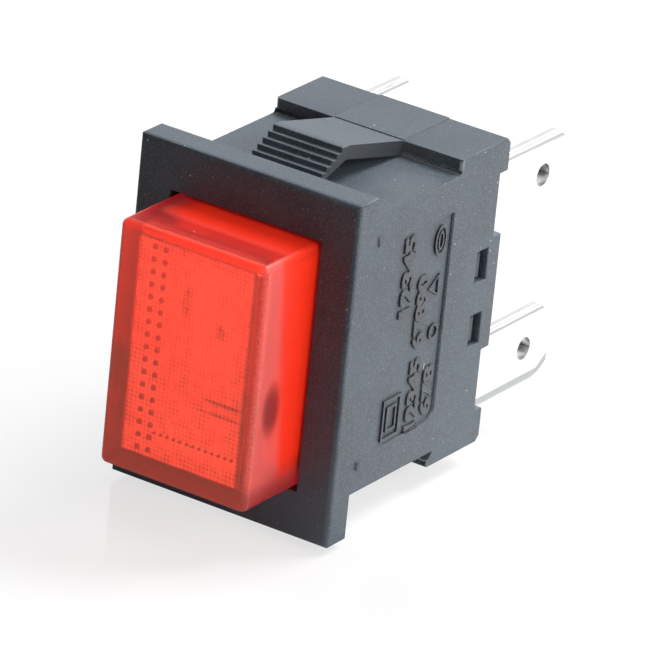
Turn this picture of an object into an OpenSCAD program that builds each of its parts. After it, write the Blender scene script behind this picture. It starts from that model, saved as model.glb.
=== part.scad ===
// Illuminated push-button panel switch with a snap-in housing, a latching
// plunger and two double-break poles.
// The panel lies on the plane y = 0, the button faces -Y, the tabs leave
// along +Y, and Z runs along the long side of the bezel.

/* [Bezel] */
// Width of the bezel, across the panel
bezel_w = 15; // [14.6:0.1:20]
// Height of the bezel, along the long side
bezel_h = 21; // [20.6:0.1:26]
// Thickness of the bezel in front of the panel
bezel_t = 1.9; // [1.6:0.1:2.6]
// Radius of the bezel's front edges
bezel_edge = 0.35; // [0.1:0.05:0.6]
// Radius of the bezel's four corners
bezel_corner = 0.2; // [0.1:0.05:0.6]

/* [Housing] */
// Width of the body behind the panel
body_w = 12.9; // [12.9:0.1:13.5]
// How far the lips above and below the opening reach over the plunger
lip_h = 0.2; // [0.1:0.05:0.4]
// Depth of the slim front section
nose_d = 10.3; // [9.8:0.1:10.6]
// Step from the front section up to the rear block
block_step = 0.9; // [0.7:0.1:1.1]
// Depth of the whole body behind the panel
body_d = 15.4; // [15.2:0.1:17]
// Top and bottom walls of the front section
wall = 0.75; // [0.5:0.05:0.8]
// Side walls of the front section
side_wall = 0.85; // [0.7:0.05:0.9]
// Side walls beside the terminals
thin_wall = 0.6; // [0.4:0.05:0.6]
// Depth of the lip that holds the plunger back
lip_d = 0.6; // [0.3:0.1:0.9]
// Corner chamfer at the back of the rear block
block_chamfer = 0.3; // [0.1:0.1:0.6]
// How far the lower toe of the rear block leans forward
toe = 0.6; // [0.2:0.1:0.9]
// Height of the raised strip behind each tongue
strip_t = 0.06; // [0.04:0.02:0.2]
// Radius at the foot and at the corners of the step
step_r = 0.25; // [0.1:0.05:0.4]

/* [Snap tongues] */
// Width of each tongue
tongue_w = 4.8; // [3:0.2:6]
// Thickness of each tongue
tongue_t = 0.9; // [0.7:0.05:1.1]
// Rise of the ridge above the rear block
ridge_rise = 1.4; // [1:0.1:1.8]
// Distance of the ridge behind the panel
ridge_y = 3.8; // [3.2:0.1:5]
// Flat land on top of the ridge
ridge_land = 0.5; // [0.2:0.1:0.9]
// Distance of the tongue's tip behind the bezel
tip_y = 0.9; // [0.6:0.1:1.4]
// Slope of the locking ramp
ramp_angle = 27.5; // [20:0.5:30]
// Number of locking ribs on the ramp
rib_count = 6; // [3:1:9]
// Depth of the valleys between the ribs
rib_depth = 0.12; // [0.05:0.01:0.2]

/* [Side details] */
// Front edge of the sloping label panel
label_y = 3.7; // [2.8:0.1:6]
// Upper end of the label panel, from the middle
label_top = 6.5; // [4:0.1:7.2]
// Lower end of the label panel, from the middle
label_bottom = 6.3; // [4:0.1:7.2]
// Depth of the label panel at its rear edge
label_depth = 0.18; // [0.1:0.02:0.3]
// Depth of the groove round the label panel
groove_depth = 0.22; // [0.2:0.02:0.4]
// Width of that groove
groove_w = 0.1; // [0.08:0.02:0.5]
// Proud height of the centring nubs
nub_t = 0.08; // [0.05:0.01:0.2]
// Length of a centring nub
nub_l = 0.6; // [0.4:0.1:1.5]
// Height of the centring nubs from the middle
nub_z = 6.9; // [5:0.1:7.6]
// Distance of the centring nubs behind the panel face
nub_y = 2.05; // [2.05:0.05:2.6]
// Length of the slope that takes a nub back into the side
nub_w = 0.6; // [0.4:0.05:1.2]

/* [Button] */
// Width of the cap
cap_w = 10; // [9.6:0.1:10.2]
// Height of the cap
cap_h = 15; // [14.6:0.1:15.2]
// How far the cap stands out of the bezel at rest
cap_out = 5.05; // [4.2:0.05:6.5]
// Side walls of the cap
cap_wall = 0.9; // [0.7:0.05:1.1]
// Thickness of the cap's face
cap_face = 1.2; // [0.8:0.05:1.4]
// Radius of the cap's front edges
cap_edge = 0.4; // [0.1:0.05:0.6]
// Radius of the cap's four long edges
cap_corner = 0.3; // [0.1:0.05:0.6]
// Running gap between the cap and the bezel
cap_gap = 0.15; // [0.1:0.01:0.25]
// Full travel of the button
stroke = 3; // [2.4:0.1:3]
// Travel at which the button stays in
latched = 2.3; // [1.9:0.1:2.4]

/* [Diffuser] */
// Thickness of the diffuser plate
diffuser_t = 0.5; // [0.3:0.05:0.8]
// Height of its ribs
diffuser_rib = 0.2; // [0.1:0.05:0.3]
// Upright ribs across the width
diffuser_cols = 11; // [5:1:15]
// Level ribs along the height
diffuser_rows = 17; // [7:1:21]

/* [Plunger] */
// Thickness of the plunger's flange
flange_t = 1; // [0.7:0.1:1.2]
// Wall of the collar inside the cap
collar_wall = 0.7; // [0.5:0.05:0.9]
// Height of the collar in front of the flange
collar_d = 3.9; // [3:0.1:4.2]
// Width of the stem
stem_w = 6; // [5.8:0.1:6.1]
// Gap left behind the stem at full travel
stem_rest = 0.3; // [0.3:0.05:0.6]

/* [Terminal base] */
// Thickness of the base plate
base_t = 2.4; // [2:0.1:2.4]
// How far the base lies inside the rear edge
base_inset = 0.8; // [0.6:0.1:1]
// Fit of the base in the housing
base_fit = 0.05; // [0.02:0.01:0.08]
// Height of the two side windows
window_h = 2; // [1.4:0.1:2.4]
// Depth of the side windows
window_d = 1.2; // [0.9:0.1:1.4]
// Height of the windows from the middle
window_z = 2; // [1.5:0.1:2.3]
// Gap round a lug in its window
lug_gap = 0.22; // [0.1:0.02:0.3]
// Height of the notches at the tabs
notch_h = 3.9; // [3:0.1:4.6]
// Width of the two recesses in the back of the base
core_w = 7.6; // [5:0.2:8.4]
// Depth of these recesses
core_d = 0.7; // [0.3:0.1:0.9]
// Rib left between them
core_rib = 1.2; // [0.8:0.1:3]

/* [Terminals] */
// Width of a tab
tab_w = 4.8; // [4.4:0.1:5.2]
// Thickness of a tab
tab_t = 0.8; // [0.5:0.05:0.8]
// Length of a tab behind the body
tab_out = 7.8; // [6.5:0.1:9]
// Distance between the two rows of tabs
tab_pitch_z = 11; // [10.8:0.1:11.2]
// Length of the chamfers at the tip
tip_l = 1.2; // [0.6:0.1:1.6]
// Width of the chamfers at the tip
tip_w = 0.85; // [0.4:0.05:1.2]
// Bevel along the tab's edges
tab_bevel = 0.2; // [0.1:0.02:0.25]
// Diameter of the wire hole
hole_d = 1.4; // [1.2:0.05:1.7]
// Distance of the hole from the tip
hole_back = 2.7; // [2.3:0.1:3.4]
// Width of the contact foot
foot_w = 2.8; // [2.2:0.1:3]

/* [Contacts] */
// Diameter of the silver contacts
contact_d = 2; // [1.4:0.1:2.1]
// Height of a fixed contact
fixed_h = 0.6; // [0.4:0.05:0.7]
// Height of a moving contact
moving_h = 0.45; // [0.3:0.05:0.5]
// Gap that stays at full travel
contact_rest = 0.05; // [0.04:0.01:0.08]
// Travel of the contact bridges
bridge_stroke = 1.8; // [1.7:0.05:2]
// Width of a bridge
bridge_w = 1.7; // [1.4:0.1:1.8]
// Thickness of a bridge
bridge_t = 0.5; // [0.4:0.05:0.6]
// Distance of the bridges from the middle
bridge_x = 4.2; // [4.15:0.05:4.25]

/* [Springs] */
// Wire of the return springs
return_wire = 0.35; // [0.25:0.05:0.4]
// Mean diameter of the return springs
return_d = 2.6; // [2:0.1:2.7]
// Turns of the return springs
return_turns = 9; // [6:1:11]
// Gap between the upper return spring and the latch boss
return_gap = 0.325; // [0.275:0.025:0.425]
// Wire of the contact springs
contact_wire = 0.25; // [0.15:0.05:0.3]
// Mean diameter of the contact springs
contact_spring_d = 1.5; // [1.3:0.1:1.7]
// Turns of the contact springs
contact_turns = 5; // [4:1:7]

/* [Latch] */
// Room for the latch above the stem
latch_room = 1.45; // [1.45:0.05:1.65]
// Wire of the latch pin
pin_d = 0.5; // [0.4:0.05:0.5]
// Distance from the pivot to the pin's tip
pin_reach = 4.2; // [4:0.05:4.3]
// Swing of the pin over the full travel
latch_swing = 16.5; // [12:0.5:17]
// Depth of the heart cam
cam_depth = 0.9; // [0.7:0.05:1]
// Gap on each side of the pin in the cam
cam_gap = 0.12; // [0.1:0.01:0.18]
// Thickness of the latch spring
leaf_t = 0.2; // [0.15:0.01:0.22]
// Width of the latch spring
leaf_w = 2; // [1.4:0.1:2.4]

/* [Lamp] */
// Diameter of the lamp's glass
lamp_d = 4; // [3:0.1:4.2]
// Gap between the lamp and the diffuser
lamp_gap = 0.1; // [0.05:0.05:1.5]
// Diameter of the lamp's leads
lead_d = 0.35; // [0.25:0.05:0.4]
// Distance between the leads at the lamp
lead_pitch = 1.2; // [1:0.1:1.4]
// Diameter of the resistor
resistor_d = 1.5; // [1.2:0.1:1.7]
// Length of the resistor
resistor_l = 3.4; // [2.8:0.1:3.6]

/* [Hidden] */
$fn = 48;
past = 0.5;          // how far a cut runs past the face that it opens
seat_gap = 0.05;     // between pieces that sit on each other
brass = "#d9dadc";
silver = "#ececee";

// Housing, from the cap outwards
opening_w = cap_w + 2 * cap_gap;
opening_h = cap_h + 2 * cap_gap;
cavity_w = body_w - 2 * side_wall;
cavity_h = opening_h + 2 * lip_h;
nose_h = cavity_h + 2 * wall;
block_h = nose_h + 2 * block_step;
tab_room = 0.2;      // above and below the tabs in the rear pocket
pocket_w = body_w - 2 * thin_wall;
pocket_h = tab_pitch_z + tab_w + 2 * tab_room;

// Outline of the housing, in (y, z)
toe_r = 0.22;        // radius of the toe
toe_rise = 0.05;     // where the toe's slope meets the front section
ridge_z = block_h / 2 + ridge_rise;
ramp_fall = (ridge_y - tip_y) * tan(ramp_angle);
rib_pitch = (ridge_y - tip_y) / rib_count;
rib_fall = ramp_fall / rib_count;
under_gap = 0.1;     // gap below the tongue at its root
tip_gap = 0.35;      // gap below the tongue at its tip
tip_lean = 0.15;     // how far the tip's face leans back
root_l = 0.6;        // length of the tongue's root
tip_relief = 0.15;   // pocket in the bezel that the tip swings past
relief_rim = 0.3;    // rim left round that pocket

// Sides of the housing
label_margin = 0.3;  // left between the label panel and the rear block
label_end = nose_d - label_margin;
label_chamfer = 0.5;
window_inset = 0.4;  // from the back of the base to the windows

// Rear parts
base_y1 = body_d - base_inset;
base_y0 = base_y1 - base_t;
foot_y = base_y0 - tab_t;
tab_end = body_d + tab_out;
tab_x = pocket_w / 2 - base_fit - tab_t / 2;
tab_z = tab_pitch_z / 2;
tab_in = tab_x - tab_t / 2;
foot_gap = 0.15;     // between a long foot and the latch boss
lug_out = 0.35;      // how far a lug stands into its window
core_edge = 1.6;     // left between the recesses and the ends of the base
core_h = pocket_h / 2 - base_fit - core_edge;
window_y = base_y1 - window_inset - window_d;

// Contacts, from the feet forward
fixed_face = foot_y - fixed_h;
moving_face = fixed_face - contact_rest - bridge_stroke;
bridge_back = moving_face - moving_h;
bridge_front = bridge_back - bridge_t;
bridge_l = tab_pitch_z + bridge_w;

// Latch
latch_top = cavity_h / 2;
stem_h = cavity_h - 2 * latch_room;
pin_over = 0.5;      // height of the pin's arm above the stem
cam_floor = 0.15;    // gap below the pin's tip
cam_steps = 5;       // straight pieces that make up the inbound track
heart_lobe = 0.7;    // from the latching notch forward to the outbound track's knee
arm_gap = 0.15;      // gap below the pin's arm
boss_t = 1.1;
boss_w = 2.6;
boss_nose = 0.6;     // boss in front of the pivot
boss_gap = 0.3;      // left between the boss and the stem at full travel
pivot_fit = 0.04;    // running fit of the pin in its hole
pivot_inset = 0.1;   // from the feet to the pivot
pivot_y = foot_y + pivot_inset;
pin_z = stem_h / 2 + pin_over;
pin_tip = stem_h / 2 - cam_depth + cam_floor;
boss_top = pin_z - pin_d / 2 - arm_gap;
boss_bottom = boss_top - boss_t;
boss_y = pivot_y - boss_nose;
groove_r = pin_d / 2 + cam_gap;
leaf_over = 0.7;     // leaf in front of the pin's tip
leaf_hold = 1.2;     // leaf held in the base
leaf_lead = 1;       // turned-up end of the leaf
leaf_curl = 0.12;    // rise of that end
leaf_fit = 0.02;     // gap below the leaf in its slot
leaf_seat = latch_top - leaf_t - 0.1;
leaf_front = pivot_y - pin_reach - leaf_over;
leaf_back = base_y0 + leaf_hold;

// Button
flange_gap = 0.15;   // play of the flange behind and above the lip
flange_side = 0.3;   // flange behind each side lip
cap_front = -(bezel_t + cap_out);
flange_y = lip_d + flange_gap;
cap_back = flange_y - seat_gap;
cap_inner = cap_front + cap_face;
cap_in_w = cap_w - 2 * cap_wall;
cap_in_h = cap_h - 2 * cap_wall;
flange_w = opening_w + 2 * flange_side;
flange_h = cavity_h - 2 * flange_gap;
collar_w = cap_in_w - 2 * seat_gap;
collar_h = cap_in_h - 2 * seat_gap;
diffuser_y = cap_inner + seat_gap;
rib_w = 0.14;        // width of the diffuser's ribs

// Lamp and its socket in the stem
stem_y0 = flange_y + flange_t;
stem_y = foot_y - stroke - stem_rest;
socket_d = 0.85;     // depth of the socket
socket_wall = 1;
socket_out = 2;      // socket in front of the flange
lamp_back = stem_y0 + socket_d;
lamp_end = lamp_back - 2 * seat_gap;
lamp_l = lamp_end - (diffuser_y + diffuser_rib + diffuser_t + lamp_gap);
neck_l = 0.5;        // narrow end of the lamp
neck_step = 0.3;

// Return springs and leads
web_t = 0.4;         // between the lamp and the spring wells
well_fit = 0.125;
return_z = boss_bottom - return_gap - (return_d + return_wire) / 2;
well_d = return_d + return_wire + 2 * well_fit;
well_y = lamp_back + web_t;
lead_slot = 1;       // depth of the channel between the wells
return_y0 = well_y + lead_d + 2 * seat_gap;
lead_y = well_y + seat_gap + lead_d / 2;
lead_jog = [0.5, 0.7];
resistor_gap = 0.2;
resistor_cap = 0.9;  // length of the resistor's end caps
resistor_waist = 0.25;
resistor_drop = 1.3; // from the leads back to the resistor
elbow_out = 0.5;     // from the resistor's ends to the bends
resistor_y = lead_y + resistor_drop;
elbow_x = resistor_l / 2 + elbow_out;
slot_x = elbow_x + lead_d + seat_gap;
slot_z = resistor_d / 2 + resistor_gap;

// Bridge carrier on the plunger
relative_stroke = stroke - bridge_stroke;
contact_room = 3.1;  // length of a contact spring at rest
cheek_gap = 0.55;    // between a contact spring and its cheeks
cheek_t = 0.75;
cheek_tip = 0.5;     // cheek behind the bridge
yoke_t = 0.9;
carrier_rim = 0.15;  // carrier outside the bridge
carrier_gap = 0.1;   // play of a bridge in its carrier
dimple_t = 0.25;     // spring seat on a bridge
dimple_fit = 0.1;
cheek_z = contact_spring_d / 2 + contact_wire / 2 + cheek_gap;
spring_front = bridge_front - contact_room;
yoke_y = spring_front - yoke_t;
cheek_end = bridge_back + cheek_tip;
carrier_x1 = bridge_x + bridge_w / 2 + carrier_rim;
dimple_d = contact_spring_d - contact_wire - 2 * dimple_fit;

// Space between two limits on each axis
module span(x, y, z) {
    translate([x[0], y[0], z[0]])
        cube([x[1] - x[0], y[1] - y[0], z[1] - z[0]]);
}

// Outline drawn in (y, z), extruded evenly to both sides of x = 0
module across(width) {
    rotate([90, 0, 90]) linear_extrude(width, center = true) children();
}

// Outline drawn in (x, z), extruded from y[0] to y[1]
module through(y) {
    translate([0, y[1], 0]) rotate([90, 0, 0]) linear_extrude(y[1] - y[0]) children();
}

module both_sides() {
    children();
    mirror([1, 0, 0]) children();
}

module both_ends() {
    children();
    mirror([0, 0, 1]) children();
}

// Rod along Y
module rod(d, y) {
    translate([0, y[0], 0]) rotate([-90, 0, 0]) cylinder(d = d, h = y[1] - y[0]);
}

// Rectangle with its two front corners rounded, x being the depth
module front_rounded(depth, height, r) {
    translate([r, -height / 2]) square([depth - r, height]);
    translate([0, r - height / 2]) square([depth, height - 2 * r]);
    for (side = [-1, 1]) translate([r, side * (height / 2 - r)]) circle(r);
}

// Rectangle with four rounded corners
module round_cornered(width, height, r) {
    square([width - 2 * r, height], center = true);
    square([width, height - 2 * r], center = true);
    for (x = [r - width / 2, width / 2 - r], z = [r - height / 2, height / 2 - r])
        translate([x, z]) circle(r);
}

// Slab whose front edges and corners are rounded
module soft_slab(width, height, y, edge, corner) {
    intersection() {
        across(width) translate([y[0], 0]) front_rounded(y[1] - y[0], height, edge);
        linear_extrude(height, center = true)
            translate([0, y[0]]) rotate(90) front_rounded(y[1] - y[0], width, edge);
        through(y) round_cornered(width, height, corner);
    }
}

// Bent wire through a list of points
module wire(points, d) {
    for (i = [1 : len(points) - 1]) {
        a = points[i - 1];
        v = points[i] - a;
        translate(a) rotate([0, acos(v.z / norm(v)), atan2(v.y, v.x)])
            cylinder(d = d, h = norm(v), $fn = 16);
    }
    for (i = [1 : len(points) - 2]) translate(points[i]) sphere(d = d, $fn = 16);
}

// Height of a coil after t turns: one closed turn at each end, even pitch between
function coil_rise(t, turns, wire_d, length) =
    let (closed = wire_d * 1.05, pitch = (length - wire_d - 2 * closed) / (turns - 2))
    t < 1 ? closed * t
    : t > turns - 1 ? length - wire_d - closed * (turns - t)
    : closed + pitch * (t - 1);

// Compression spring along Y
module coil_spring(y, mean_d, wire_d, turns, steps = 14, sides = 6) {
    rings = turns * steps;
    points = [
        for (i = [0 : rings], j = [0 : sides - 1])
            let (
                a = 360 * i / steps,
                b = 360 * j / sides,
                r = mean_d / 2 + wire_d / 2 * cos(b),
                rise = coil_rise(i / steps, turns, wire_d, y[1] - y[0])
            )
            [r * cos(a), y[0] + wire_d / 2 * (1 + sin(b)) + rise, r * sin(a)]
    ];
    skin = [
        for (i = [0 : rings - 1], j = [0 : sides - 1])
            let (k = (j + 1) % sides, p = i * sides, q = p + sides)
            [p + j, p + k, q + k, q + j]
    ];
    ends = [
        [for (j = [sides - 1 : -1 : 0]) j],
        [for (j = [0 : sides - 1]) rings * sides + j]
    ];
    polyhedron(points, concat(skin, ends));
}

// ---- Housing ----

module rear_block_outline() {
    z = block_h / 2;
    c = block_chamfer;
    toe_y = nose_d - toe + toe_r;
    polygon([
        [nose_d, z], [body_d - c, z], [body_d, z - c], [body_d, c - z], [body_d - c, -z],
        [toe_y, -z], [toe_y, 2 * toe_r - z], [nose_d, -nose_h / 2 - toe_rise]
    ]);
    translate([toe_y, toe_r - z]) circle(toe_r);
    translate([nose_d - step_r, nose_h / 2]) difference() {
        square(step_r + past);
        translate([0, step_r]) circle(step_r);
        translate([-past, step_r]) square(step_r + past);
    }
}

// Takes the sharp upright corners off the step
module step_corners() {
    x = body_w / 2 - step_r;
    both_sides() translate([0, 0, nose_h / 2 + step_r]) linear_extrude(block_h)
        translate([x, nose_d]) difference() {
            translate([0, -past]) square([step_r + past, step_r + past]);
            translate([0, step_r]) circle(step_r);
        }
}

module tongue_outline() {
    ribs = [
        for (i = [0 : rib_count - 1])
            let (y = ridge_y - i * rib_pitch, z = ridge_z - i * rib_fall)
            each [[y, z], [y, z - rib_fall - (i < rib_count - 1 ? rib_depth : 0)]]
    ];
    polygon(concat(
        [[nose_d, block_h / 2], [ridge_y + ridge_land, ridge_z]],
        ribs,
        [
            [tip_y, ridge_z - ramp_fall],
            [tip_y + tip_lean, nose_h / 2 + tip_gap],
            [ridge_y + ridge_land, ridge_z - tongue_t],
            [nose_d - root_l, nose_h / 2 + under_gap],
            [nose_d, nose_h / 2 + under_gap / 2]
        ]
    ));
}

// Label panel seen from the side, grown by the width of its groove
module label_outline(grow) {
    y1 = label_end - groove_w + grow;
    z0 = -label_bottom - grow;
    polygon([
        [label_y, label_top], [y1, label_top], [y1, z0 + label_chamfer],
        [y1 - label_chamfer, z0], [label_y, z0]
    ]);
}

// Wedge that is flush at the front of the label panel and deepest at its rear
module label_wedge(depth) {
    x = body_w / 2;
    linear_extrude(body_w, center = true)
        polygon([
            [x + past, label_y], [x, label_y], [x - depth, label_end],
            [x - depth, nose_d], [x + past, nose_d]
        ]);
}

module label_recess() {
    intersection() {
        across(2 * body_w) label_outline(0);
        label_wedge(label_depth);
    }
    intersection() {
        across(2 * body_w) difference() {
            label_outline(groove_w);
            label_outline(0);
        }
        label_wedge(groove_depth);
    }
}

// Side windows for the lugs of the base, and the notches at the tabs
module side_cuts() {
    x = [pocket_w / 2 - past, body_w / 2 + past];
    both_ends() {
        span(x, [window_y, window_y + window_d],
             [window_z - window_h / 2, window_z + window_h / 2]);
        span(x, [base_y1, body_d + past], [tab_z - notch_h / 2, tab_z + notch_h / 2]);
    }
}

module housing() {
    color("#2b2e33") difference() {
        union() {
            soft_slab(bezel_w, bezel_h, [-bezel_t, 0], bezel_edge, bezel_corner);
            span([-body_w / 2, body_w / 2], [-bezel_t / 2, nose_d + wall],
                 [-nose_h / 2, nose_h / 2]);
            across(body_w) rear_block_outline();
            both_ends() {
                across(tongue_w) tongue_outline();
                span([-tongue_w / 2, tongue_w / 2], [nose_d, body_d - block_chamfer],
                     [block_h / 2 - wall, block_h / 2 + strip_t]);
            }
            both_sides() both_ends()
                translate([body_w / 2, nub_y, nub_z - nub_l / 2]) linear_extrude(nub_l)
                    polygon([[-side_wall / 2, 0], [nub_t, 0], [0, nub_w], [-side_wall / 2, nub_w]]);
        }
        step_corners();
        span([-opening_w / 2, opening_w / 2], [-bezel_t - past, lip_d + past],
             [-opening_h / 2, opening_h / 2]);
        span([-cavity_w / 2, cavity_w / 2], [lip_d, body_d + past],
             [-cavity_h / 2, cavity_h / 2]);
        span([-pocket_w / 2, pocket_w / 2], [nose_d, body_d + past],
             [-pocket_h / 2, pocket_h / 2]);
        both_sides() side_cuts();
        both_ends()
            span([-(tongue_w + relief_rim) / 2, (tongue_w + relief_rim) / 2], [-tip_relief, past],
                 [nose_h / 2, bezel_h / 2 - relief_rim]);
        label_recess();
    }
}

// ---- Terminal base ----

module terminal_base() {
    z = pocket_h / 2 - base_fit;
    color("#34373c") difference() {
        union() {
            span([base_fit - pocket_w / 2, pocket_w / 2 - base_fit], [base_y0, base_y1], [-z, z]);
            both_sides() both_ends()
                span([pocket_w / 2 - past, pocket_w / 2 + lug_out],
                     [window_y + base_fit, window_y + window_d - 2 * lug_gap],
                     [window_z - window_h / 2 + lug_gap, window_z + window_h / 2 - lug_gap]);
            span([-boss_w / 2, boss_w / 2], [boss_y, base_y0 + past], [boss_bottom, boss_top]);
        }
        both_sides() both_ends()
            span([tab_in - base_fit, pocket_w / 2 + past], [base_y0 - past, base_y1 + past],
                 [tab_z - tab_w / 2 - base_fit, z + past]);
        both_ends()
            span([-core_w / 2, core_w / 2], [base_y1 - core_d, base_y1 + past],
                 [core_rib / 2, core_h]);
        translate([0, pivot_y, boss_bottom - past])
            cylinder(d = pin_d + 2 * pivot_fit, h = boss_top - boss_bottom + 2 * past);
        span([-leaf_w / 2 - base_fit, leaf_w / 2 + base_fit],
             [base_y0 - past, leaf_back + base_fit], [leaf_seat, z + past]);
    }
}

// ---- Button ----

module button_cap() {
    color("#e0241a") difference() {
        soft_slab(cap_w, cap_h, [cap_front, cap_back], cap_edge, cap_corner);
        span([-cap_in_w / 2, cap_in_w / 2], [cap_inner, cap_back + past],
             [-cap_in_h / 2, cap_in_h / 2]);
    }
}

module diffuser() {
    w = collar_w;
    h = collar_h;
    y = [diffuser_y, diffuser_y + diffuser_rib + diffuser_t];
    rib_back = y[1] - diffuser_t / 2;
    color("#ff6a4a") {
        span([-w / 2, w / 2], [y[1] - diffuser_t, y[1]], [-h / 2, h / 2]);
        for (i = [0 : diffuser_cols - 1]) {
            x = (i / (diffuser_cols - 1) - 0.5) * (w - rib_w);
            span([x - rib_w / 2, x + rib_w / 2], [y[0], rib_back], [-h / 2, h / 2]);
        }
        for (i = [0 : diffuser_rows - 1]) {
            z = (i / (diffuser_rows - 1) - 0.5) * (h - rib_w);
            span([-w / 2, w / 2], [y[0] + diffuser_rib / 2, rib_back],
                 [z - rib_w / 2, z + rib_w / 2]);
        }
    }
}

// Track of the pin's tip in the plunger as the button goes in, by fraction of travel
function inbound(f) = [
    pin_reach * sin(f * latch_swing),
    pivot_y - pin_reach * cos(f * latch_swing) - f * stroke
];

// Closed heart-shaped track: in on the right, rest in the notch, out on the left
module heart_cam() {
    latch_at = [0, pivot_y - pin_reach - latched];
    full = inbound(1);
    track = concat(
        [for (i = [0 : cam_steps]) inbound(i / cam_steps)],
        [latch_at, [-full.x, full.y], [-full.x, latch_at.y + heart_lobe], inbound(0)]
    );
    translate([0, 0, stem_h / 2 - cam_depth]) linear_extrude(cam_depth + past)
        for (i = [1 : len(track) - 1]) {
            v = track[i] - track[i - 1];
            translate(track[i - 1]) {
                circle(groove_r, $fn = 24);
                rotate(atan2(v.y, v.x)) translate([0, -groove_r])
                    square([norm(v), 2 * groove_r]);
            }
        }
}

// Yoke and cheeks that carry one contact bridge and its spring
module bridge_carrier() {
    x0 = stem_w / 2 - past;
    difference() {
        union() {
            span([x0, carrier_x1], [yoke_y, spring_front],
                 [-cheek_z - cheek_t, cheek_z + cheek_t]);
            both_ends()
                span([x0, carrier_x1], [yoke_y, cheek_end], [cheek_z, cheek_z + cheek_t]);
        }
        span([bridge_x - bridge_w / 2 - carrier_gap, carrier_x1 + past],
             [bridge_front - relative_stroke - carrier_gap, bridge_back + carrier_gap / 2],
             [-bridge_l, bridge_l]);
    }
}

module plunger() {
    color("#efece2") difference() {
        union() {
            span([-flange_w / 2, flange_w / 2], [flange_y, stem_y0],
                 [-flange_h / 2, flange_h / 2]);
            span([-collar_w / 2, collar_w / 2], [flange_y - collar_d, flange_y + flange_t / 2],
                 [-collar_h / 2, collar_h / 2]);
            span([-stem_w / 2, stem_w / 2], [flange_y, stem_y], [-stem_h / 2, stem_h / 2]);
            both_sides() bridge_carrier();
        }
        difference() {
            span([collar_wall - collar_w / 2, collar_w / 2 - collar_wall],
                 [flange_y - collar_d - past, flange_y],
                 [collar_wall - collar_h / 2, collar_h / 2 - collar_wall]);
            rod(lamp_d + 2 * socket_wall, [flange_y - socket_out, flange_y]);
        }
        rod(lamp_d + 4 * seat_gap, [flange_y - collar_d - past, lamp_back]);
        span([-slot_x, slot_x], [lamp_back - past, stem_y + past], [-slot_z, slot_z]);
        span([-lead_pitch / 2 - lead_d, lead_pitch / 2 + lead_d], [well_y, well_y + lead_slot],
             [-return_z, return_z]);
        both_ends() translate([0, 0, return_z]) rod(well_d, [well_y, stem_y + past]);
        span([-boss_w / 2 - boss_gap, boss_w / 2 + boss_gap],
             [boss_y - stroke - boss_gap, stem_y + past],
             [boss_bottom - boss_gap, stem_h / 2 + past]);
        heart_cam();
    }
}

// ---- Lamp ----

module neon_lamp() {
    r = lamp_d / 2;
    color("#ffe9d8") rotate([-90, 0, 0]) translate([0, 0, lamp_end - lamp_l])
        rotate_extrude() difference() {
            union() {
                translate([0, r]) square([r, lamp_l - r - neck_step]);
                translate([0, lamp_l - neck_l]) square([r - neck_step, neck_l]);
                translate([0, r]) circle(r);
            }
            translate([-lamp_d, -lamp_d]) square([lamp_d, 2 * lamp_d + lamp_l]);
        }
}

module lamp_resistor() {
    color("#c9a878") translate([0, resistor_y, 0]) rotate([0, 90, 0]) {
        cylinder(d = resistor_d - resistor_waist, h = resistor_l, center = true);
        for (side = [-1, 1]) translate([0, 0, side * (resistor_l - resistor_cap) / 2])
            cylinder(d = resistor_d, h = resistor_cap, center = true);
    }
}

// Lead from the lamp down to the lower return spring
module lamp_lead() {
    x = -lead_pitch / 2;
    color("#c8c8cc") wire([
        [x, lamp_back - seat_gap, 0], [x, lead_y, 0],
        [x, lead_y, -return_z], [-x, lead_y, -return_z]
    ], lead_d);
}

// Leads of the resistor: one from the lamp, one up to the upper return spring
module resistor_lead() {
    x = lead_pitch / 2;
    color("#c8c8cc") {
        wire([
            [x, lamp_back - seat_gap, 0], [x, lead_y, 0], [elbow_x, lead_y, 0],
            [elbow_x, resistor_y, 0], [resistor_l / 2 + seat_gap, resistor_y, 0]
        ], lead_d);
        wire([
            [-resistor_l / 2 - seat_gap, resistor_y, 0], [-elbow_x, resistor_y, 0],
            [-elbow_x, lead_y, lead_jog[0]], [-x, lead_y, lead_jog[1]],
            [-x, lead_y, return_z], [x, lead_y, return_z]
        ], lead_d);
    }
}

// ---- Springs and latch ----

module return_spring(end) {
    color("#b9bcc0") translate([0, 0, end * return_z])
        coil_spring([return_y0, foot_y], return_d, return_wire, return_turns);
}

module latch_pin() {
    color("#c2c5c9") wire([
        [0, pivot_y, boss_bottom], [0, pivot_y, pin_z],
        [0, pivot_y - pin_reach, pin_z], [0, pivot_y - pin_reach, pin_tip]
    ], pin_d);
}

module latch_spring() {
    low = pin_z + pin_d / 2 + seat_gap;
    seat = leaf_seat + leaf_fit;
    color("#b08d4f") across(leaf_w) polygon([
        [leaf_back, seat], [leaf_back, seat + leaf_t], [base_y0, seat + leaf_t],
        [leaf_front + leaf_lead, low + leaf_t], [leaf_front, low + leaf_t + leaf_curl],
        [leaf_front, low + leaf_curl], [leaf_front + leaf_lead, low], [base_y0, seat]
    ]);
}

// ---- Terminals and contacts ----

// Edge of a tab, seen from the side, with its two tip chamfers
module tab_outline() {
    w = tab_w / 2;
    polygon([
        [base_y0, -w], [tab_end - tip_l, -w], [tab_end, tip_w - w],
        [tab_end, w - tip_w], [tab_end - tip_l, w], [base_y0, w]
    ]);
}

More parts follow.
